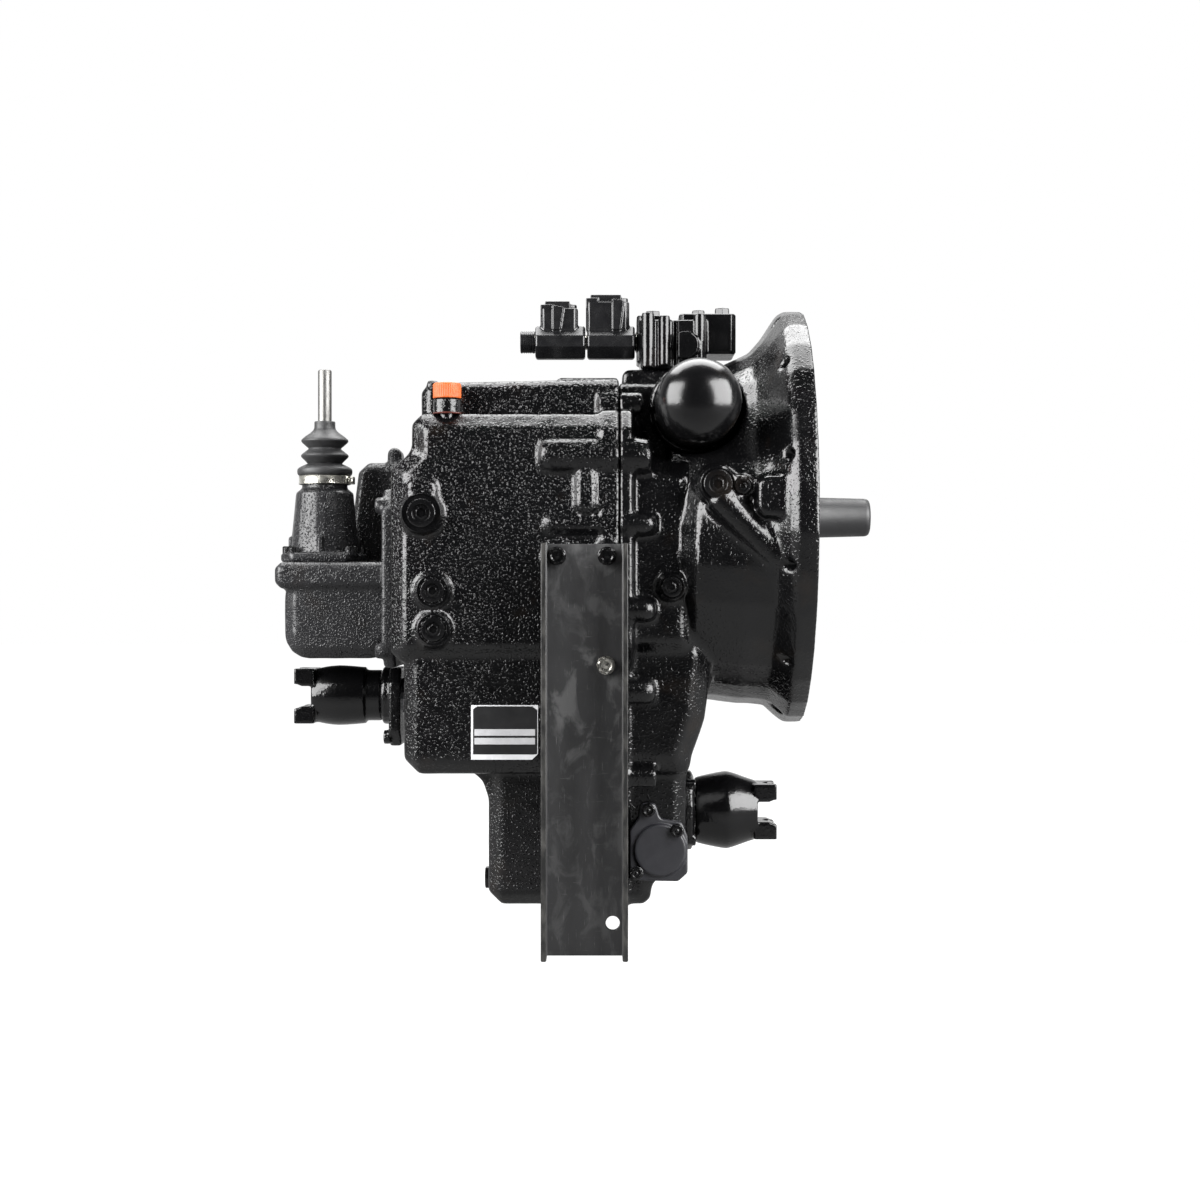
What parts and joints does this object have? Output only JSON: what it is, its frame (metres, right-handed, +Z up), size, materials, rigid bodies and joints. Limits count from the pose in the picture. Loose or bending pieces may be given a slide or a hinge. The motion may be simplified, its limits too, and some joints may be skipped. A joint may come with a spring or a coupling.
{
  "type": "manual transmission",
  "caption": "Tractor-loader shuttle transmission: bell housing, geared case, hand shift lever, solenoid valve, rear and front drive yokes, on two channel support legs.",
  "frame": {"origin": "on the floor, under the middle of the object's bounding box", "axes": "+X forward along the shafts towards the engine flange, +Z up, +Y to the side away from the oil filter"},
  "size_m": [0.646, 0.452, 0.693],
  "materials": {
    "black_casting": "gloss black enamel over rough sand casting",
    "gloss_black": "smooth gloss black enamel",
    "leg_steel": "scuffed satin black paint on mill steel, bare at the edges",
    "black_bolt": "black enamel over steel bolt and plug heads",
    "zinc_steel": "bright zinc plate",
    "bright_steel": "drawn steel rod",
    "gear_steel": "ground steel",
    "boot_rubber": "matt black moulded rubber",
    "orange_plastic": "orange moulded plastic",
    "coil_plastic": "black overmoulding with paint overspray",
    "cap_plastic": "satin black plastic sleeve",
    "plate": "white label with blank black panel and fields",
    "cover_paint": "satin charcoal paint"
  },
  "bodies": {
    "transmission": {"bell_plug_large": "black_bolt", "bell_plug_small": "black_bolt", "boot_clamp": "zinc_steel", "case_plug_lower": "black_bolt", "case_plug_middle": "black_bolt", "case_plug_upper": "black_bolt", "converter_housing": "black_casting", "drain_plug": "black_bolt", "filler_cap": "orange_plastic", "filler_fitting": "black_casting", "filter_base_ring": "black_casting", "front_bearing_retainer": "black_casting", "front_housing_plug": "black_bolt", "gear_case": "black_casting", "leg_bolt_left_1": "black_bolt", "leg_bolt_left_2": "black_bolt", "leg_bolt_left_3": "zinc_steel", "leg_bolt_right_1": "black_bolt", "leg_bolt_right_2": "black_bolt", "leg_bolt_right_3": "zinc_steel", "lever_boot": "boot_rubber", "nameplate": "plate", "oil_filter": "gloss_black", "rear_bearing_retainer": "black_casting", "shift_housing": "black_casting", "shift_tower": "black_casting", "side_cover": "cover_paint", "side_cover_bolt_1": "black_bolt", "side_cover_bolt_2": "black_bolt", "side_cover_bolt_3": "black_bolt", "solenoid_coil_forward": "coil_plastic", "solenoid_coil_reverse": "coil_plastic", "solenoid_nut": "coil_plastic", "solenoid_tube": "zinc_steel", "stator_support": "gear_steel", "support_leg_left": "leg_steel", "support_leg_right": "leg_steel", "valve_body": "gloss_black"},
    "input": {"input_shaft": "gear_steel", "input_shaft_cap": "cap_plastic"},
    "forward_gear_body": {"forward_gear": "gear_steel"},
    "reverse_gear_body": {"reverse_gear": "gear_steel"},
    "reverse_idler_body": {"reverse_idler": "gear_steel"},
    "countershaft_body": {"countershaft": "gear_steel"},
    "first_gear": {"gear_first": "gear_steel"},
    "second_gear": {"gear_second": "gear_steel"},
    "third_gear": {"gear_third": "gear_steel"},
    "fourth_gear": {"gear_fourth": "gear_steel"},
    "output": {"output_shaft": "gear_steel", "rear_yoke": "gloss_black"},
    "front_output": {"front_output_shaft": "gear_steel", "front_yoke": "gloss_black"},
    "rail_34": {"shift_rail_34": "gear_steel", "shift_fork_34": "gear_steel"},
    "rail_12": {"shift_rail_12": "gear_steel", "shift_fork_12": "gear_steel"},
    "sleeve_34": {"synchro_sleeve_34": "gear_steel"},
    "sleeve_12": {"synchro_sleeve_12": "gear_steel"},
    "lever_pin": {"lever_pivot_pin": "bright_steel"},
    "lever": {"shift_lever": "bright_steel"}
  },
  "joints": [
    {"name": "input_spin", "type": "hinge", "parent": "transmission", "child": "input", "pos_m": [0, 0, 0.451], "axis": [1, 0, 0], "continuous": true},
    {"name": "countershaft_spin", "type": "hinge", "parent": "transmission", "child": "countershaft_body", "pos_m": [0, 0.06123, 0.33406], "axis": [1, 0, 0], "continuous": true},
    {"name": "forward_gear_spin", "type": "hinge", "parent": "transmission", "child": "forward_gear_body", "pos_m": [0, 0, 0.451], "axis": [1, 0, 0], "continuous": true},
    {"name": "reverse_gear_spin", "type": "hinge", "parent": "transmission", "child": "reverse_gear_body", "pos_m": [0, 0, 0.451], "axis": [1, 0, 0], "continuous": true},
    {"name": "reverse_idler_spin", "type": "hinge", "parent": "transmission", "child": "reverse_idler_body", "pos_m": [0, 0.05611, 0.40588], "axis": [1, 0, 0], "continuous": true},
    {"name": "first_gear_spin", "type": "hinge", "parent": "transmission", "child": "first_gear", "pos_m": [0, 0, 0.255], "axis": [1, 0, 0], "continuous": true},
    {"name": "second_gear_spin", "type": "hinge", "parent": "transmission", "child": "second_gear", "pos_m": [0, 0, 0.255], "axis": [1, 0, 0], "continuous": true},
    {"name": "third_gear_spin", "type": "hinge", "parent": "transmission", "child": "third_gear", "pos_m": [0, 0, 0.255], "axis": [1, 0, 0], "continuous": true},
    {"name": "fourth_gear_spin", "type": "hinge", "parent": "transmission", "child": "fourth_gear", "pos_m": [0, 0, 0.255], "axis": [1, 0, 0], "continuous": true},
    {"name": "output_spin", "type": "hinge", "parent": "transmission", "child": "output", "pos_m": [0, 0, 0.255], "axis": [1, 0, 0], "continuous": true},
    {"name": "front_output_spin", "type": "hinge", "parent": "transmission", "child": "front_output", "pos_m": [0, 0, 0.1285], "axis": [1, 0, 0], "continuous": true},
    {"name": "rail_34_slide", "type": "slide", "parent": "transmission", "child": "rail_34", "axis": [1, 0, 0], "range_m": [-0.0105, 0.0105]},
    {"name": "rail_12_slide", "type": "slide", "parent": "transmission", "child": "rail_12", "axis": [1, 0, 0], "range_m": [-0.0105, 0.0105]},
    {"name": "sleeve_34_slide", "type": "slide", "parent": "output", "child": "sleeve_34", "axis": [1, 0, 0], "range_m": [-0.0105, 0.0105]},
    {"name": "sleeve_12_slide", "type": "slide", "parent": "output", "child": "sleeve_12", "axis": [1, 0, 0], "range_m": [-0.0105, 0.0105]},
    {"name": "lever_fore_aft", "type": "hinge", "parent": "transmission", "child": "lever_pin", "pos_m": [-0.278, 0, 0.47], "axis": [0, 1, 0], "range_deg": [-10.5, 10.5], "deforming": ["lever_boot"]},
    {"name": "lever_side_to_side", "type": "hinge", "parent": "lever_pin", "child": "lever", "pos_m": [-0.278, 0, 0.47], "axis": [1, 0, 0], "range_deg": [0, 12], "stiffness_Nm_per_rad": 1.5, "deforming": ["lever_boot"]}
  ],
  "couplings": [
    {"joint": "forward_gear_spin", "follows": "countershaft_spin", "ratio": -1},
    {"joint": "reverse_idler_spin", "follows": "countershaft_spin", "ratio": -1.6667},
    {"joint": "reverse_gear_spin", "follows": "countershaft_spin", "ratio": 1},
    {"joint": "first_gear_spin", "follows": "countershaft_spin", "ratio": -0.36364},
    {"joint": "second_gear_spin", "follows": "countershaft_spin", "ratio": -0.57895},
    {"joint": "third_gear_spin", "follows": "countershaft_spin", "ratio": -1},
    {"joint": "fourth_gear_spin", "follows": "countershaft_spin", "ratio": -1.7273},
    {"joint": "front_output_spin", "follows": "output_spin", "ratio": -1.2222},
    {"joint": "sleeve_34_slide", "follows": "rail_34_slide", "ratio": 1},
    {"joint": "sleeve_12_slide", "follows": "rail_12_slide", "ratio": 1},
    {"joint": "lever_fore_aft", "follows": "rail_34_slide", "rad_per_m": -16.6}
  ]
}
